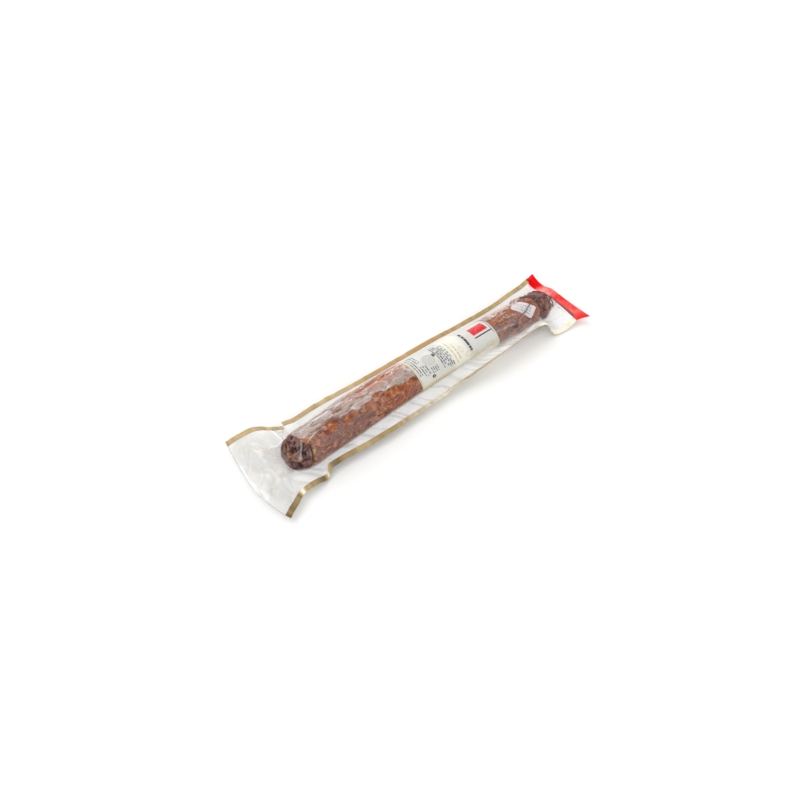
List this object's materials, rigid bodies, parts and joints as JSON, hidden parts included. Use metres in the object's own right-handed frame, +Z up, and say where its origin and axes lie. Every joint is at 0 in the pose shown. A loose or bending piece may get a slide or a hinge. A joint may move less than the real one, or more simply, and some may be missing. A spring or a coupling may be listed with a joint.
{
  "type": "vacuum-packed cured pork loin",
  "caption": "Whole cured pork loin in casing with a paper label, string and tag, sealed in a clear flat-seamed vacuum bag that lies on its belly.",
  "frame": {"origin": "middle of the pack's bounding box in plan, on the surface it lies on", "axes": "+X along the loin from the fanned end of the bag to its header band, +Y to the back of the pack, +Z up"},
  "size_m": [0.615, 0.1562, 0.0614],
  "materials": {
    "casing": "semi-gloss meat casing, mottled red-brown",
    "label_paper": "matt printed paper",
    "tag_card": "matt card",
    "string": "twisted cotton string",
    "film": "clear glossy laminate film",
    "gold_print": "gold print on film",
    "red_print": "red print on film"
  },
  "bodies": {
    "root": {"loin": "casing", "label": "label_paper", "tag": "tag_card", "string_loop": "string", "string_tie": "string", "film_top": "film", "film_base": "film", "seam_back": "gold_print", "seam_front": "gold_print", "header_band": "red_print"}
  },
  "joints": []
}
